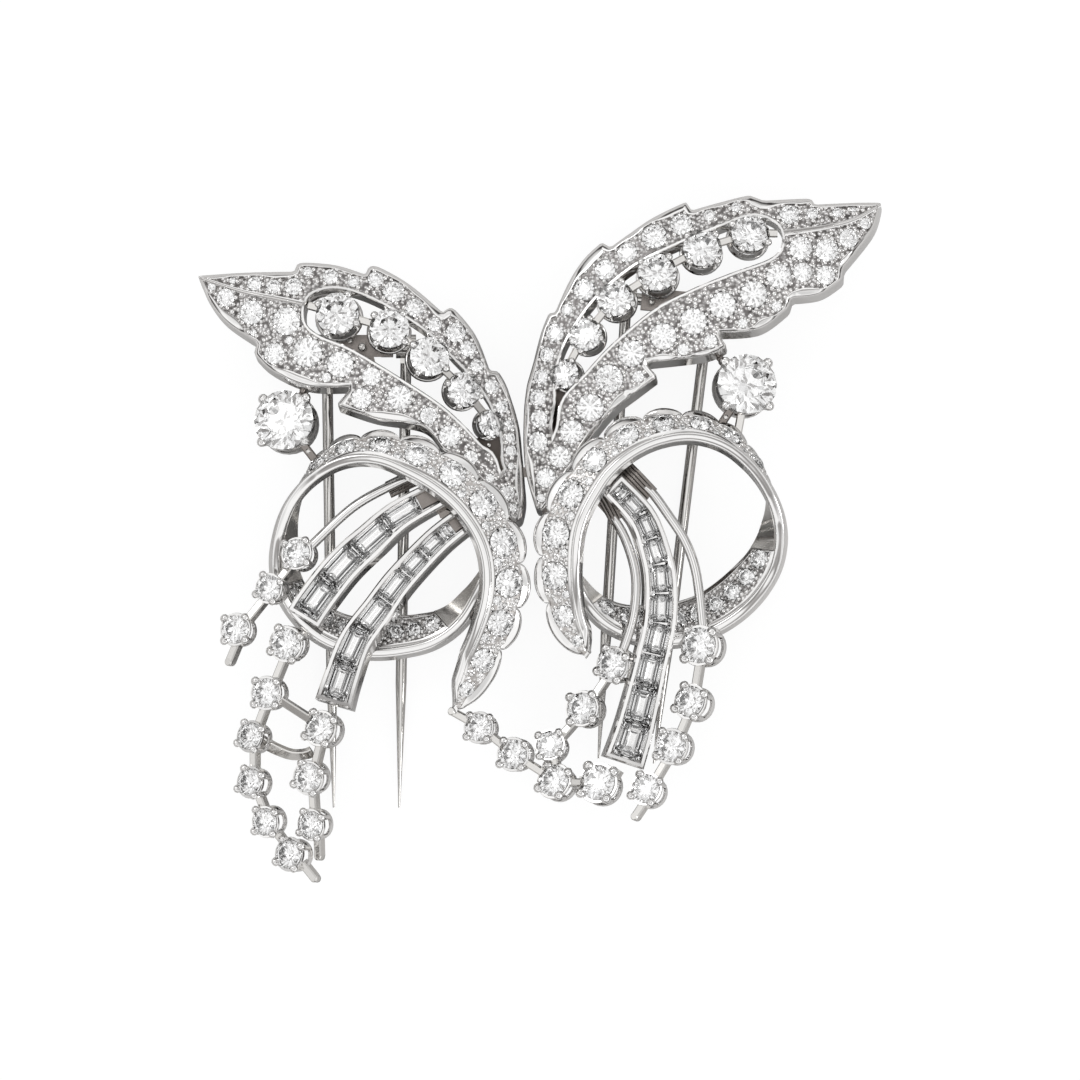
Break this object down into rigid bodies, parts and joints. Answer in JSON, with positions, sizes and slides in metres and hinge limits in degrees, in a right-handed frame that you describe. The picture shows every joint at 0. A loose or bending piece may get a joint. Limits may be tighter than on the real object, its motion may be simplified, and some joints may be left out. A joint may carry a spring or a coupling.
{
  "type": "double pin brooch",
  "caption": "Butterfly-like dress brooch: two serrated leaves over two scalloped scrolls with ribbons and sprays of set stones, each half on its own hinged double pin.",
  "frame": {"origin": "middle of the bounding box, on the surface that the brooch lies on", "axes": "+Z out of the face, +Y up the leaves, +X to the viewer's right"},
  "size_m": [0.0685, 0.0687, 0.0111],
  "materials": {
    "platinum": "polished",
    "diamond": "polished"
  },
  "bodies": {
    "brooch": {"left_leaf": "platinum", "left_leaf_stones": "diamond", "left_row_setting": "platinum", "left_row_stones": "diamond", "left_scroll": "platinum", "left_scroll_stones": "diamond", "left_solitaire_setting": "platinum", "left_solitaire": "diamond", "left_back_frame": "platinum", "left_upper_ribbon": "platinum", "left_upper_baguettes": "diamond", "left_lower_ribbon": "platinum", "left_lower_baguettes": "diamond", "left_short_spray": "platinum", "left_long_spray": "platinum", "right_leaf": "platinum", "right_leaf_stones": "diamond", "right_row_setting": "platinum", "right_row_stones": "diamond", "right_scroll": "platinum", "right_scroll_stones": "diamond", "right_solitaire_setting": "platinum", "right_solitaire": "diamond", "right_back_frame": "platinum", "right_ribbon": "platinum", "right_baguettes": "diamond", "right_outer_spray": "platinum", "right_inner_spray": "platinum", "link_bar": "platinum", "left_short_spray_stone_1": "diamond", "left_short_spray_stone_2": "diamond", "left_short_spray_stone_3": "diamond", "left_long_spray_stone_1": "diamond", "left_long_spray_stone_2": "diamond", "left_long_spray_stone_3": "diamond", "left_long_spray_stone_4": "diamond", "left_long_spray_stone_5": "diamond", "left_long_spray_stone_6": "diamond", "left_long_spray_stone_7": "diamond", "left_long_spray_stone_8": "diamond", "left_long_spray_stone_9": "diamond", "right_outer_spray_stone_1": "diamond", "right_outer_spray_stone_2": "diamond", "right_outer_spray_stone_3": "diamond", "right_outer_spray_stone_4": "diamond", "right_inner_spray_stone_1": "diamond", "right_inner_spray_stone_2": "diamond", "right_inner_spray_stone_3": "diamond", "right_inner_spray_stone_4": "diamond", "right_inner_spray_stone_5": "diamond", "right_inner_spray_stone_6": "diamond", "right_inner_spray_stone_7": "diamond"},
    "left_pin": {"left_pin_fork": "platinum"},
    "right_pin": {"right_pin_fork": "platinum"}
  },
  "joints": [
    {"name": "left_pin_hinge", "type": "hinge", "parent": "brooch", "child": "left_pin", "pos_m": [-0.0175, 0.0195, 0.0012], "axis": [1, 0, 0], "range_deg": [0, 70], "stiffness_Nm_per_rad": 0.004, "springref_deg": -20.05},
    {"name": "right_pin_hinge", "type": "hinge", "parent": "brooch", "child": "right_pin", "pos_m": [0.0129, 0.024, 0.0012], "axis": [0.9959, -0.0906, 0], "range_deg": [0, 70], "stiffness_Nm_per_rad": 0.004, "springref_deg": -20.05}
  ]
}
